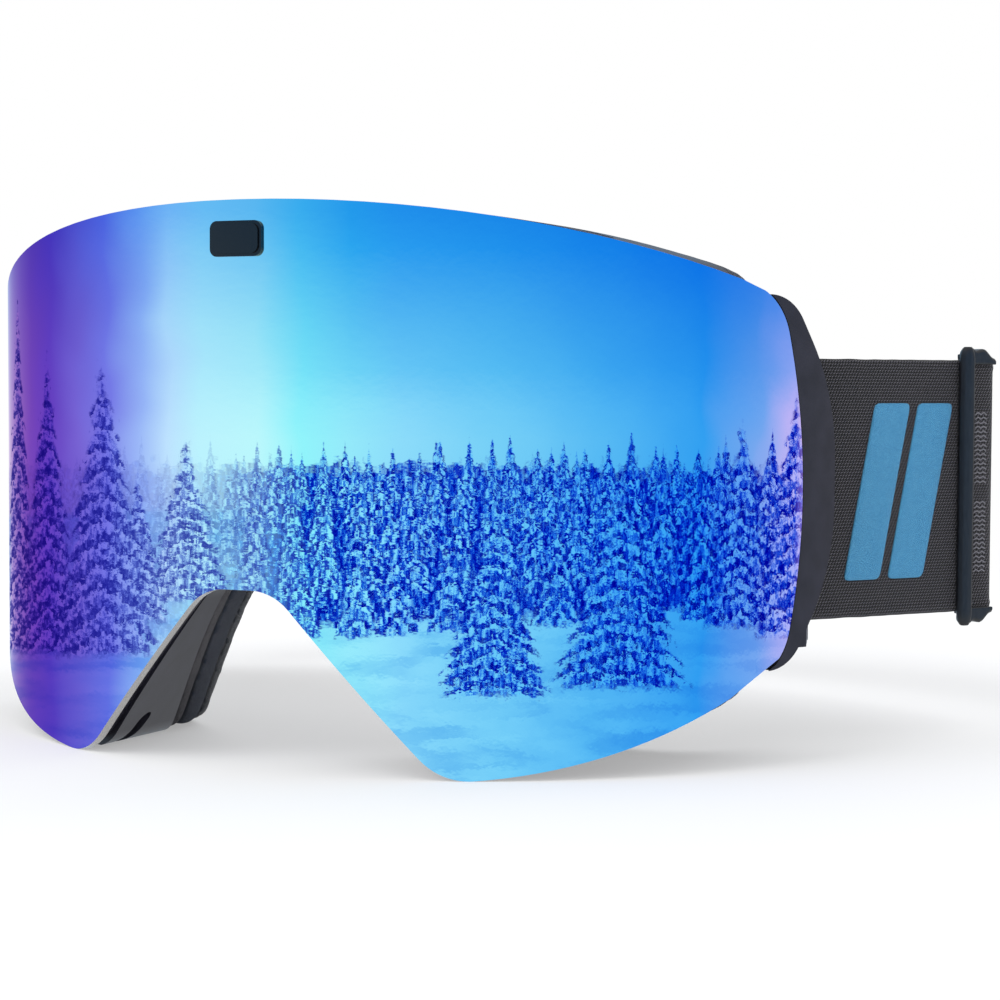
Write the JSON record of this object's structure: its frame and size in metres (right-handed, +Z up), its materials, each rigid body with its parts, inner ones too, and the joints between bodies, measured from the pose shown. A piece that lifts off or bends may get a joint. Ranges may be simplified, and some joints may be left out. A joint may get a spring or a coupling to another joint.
{
  "type": "ski goggles",
  "caption": "Frameless cylindrical ski goggles: magnet-held mirrored double lens, soft frame, layered face foam, wide elastic strap with two sliders.",
  "frame": {"origin": "under the middle of the whole object's box, at the level it stands on", "axes": "+X towards the wearer's left, -Y out through the lens, +Z up"},
  "size_m": [0.2176, 0.1616, 0.1],
  "materials": {
    "lens_coating": "blue mirror coating on polycarbonate",
    "inner_lens": "clear, anti-fog",
    "spacer_foam": "closed-cell foam gasket",
    "carrier_plastic": "satin",
    "magnet": "nickel-plated",
    "badge_plastic": "gloss, bare",
    "frame_tpu": "satin moulded polyurethane",
    "vent_foam": "open-cell foam",
    "base_foam": "speckled foam",
    "middle_foam": "speckled foam",
    "fleece": "brushed fleece",
    "strap_webbing": "woven elastic",
    "silicone": "matt silicone",
    "pin_steel": "drawn wire",
    "slider_plastic": "satin moulded"
  },
  "bodies": {
    "frame": {"frame_shell": "frame_tpu", "frame_magnets": "magnet", "top_vent_foam": "vent_foam", "bottom_vent_foam_left": "vent_foam", "bottom_vent_foam_right": "vent_foam", "face_foam_base": "base_foam", "face_foam_mid": "middle_foam", "face_fleece": "fleece", "strap": "strap_webbing", "grip_strips": "silicone", "strap_pin_left": "pin_steel", "strap_pin_right": "pin_steel"},
    "lens_module": {"outer_lens": "lens_coating", "inner_lens": "inner_lens", "lens_spacer": "spacer_foam", "lens_carrier": "carrier_plastic", "lens_magnets": "magnet", "badge": "badge_plastic"},
    "slider_left": {"slider_left": "slider_plastic"},
    "slider_right": {"slider_right": "slider_plastic"}
  },
  "joints": [
    {"name": "lens_pull", "type": "slide", "parent": "frame", "child": "lens_module", "axis": [0, -1, 0], "range_m": [0, 0.04]},
    {"name": "slider_left_slide", "type": "slide", "parent": "frame", "child": "slider_left", "axis": [-0.5736, -0.8192, 0], "range_m": [0, 0.018]},
    {"name": "slider_right_slide", "type": "slide", "parent": "frame", "child": "slider_right", "axis": [0.5736, -0.8192, 0], "range_m": [0, 0.018]}
  ]
}
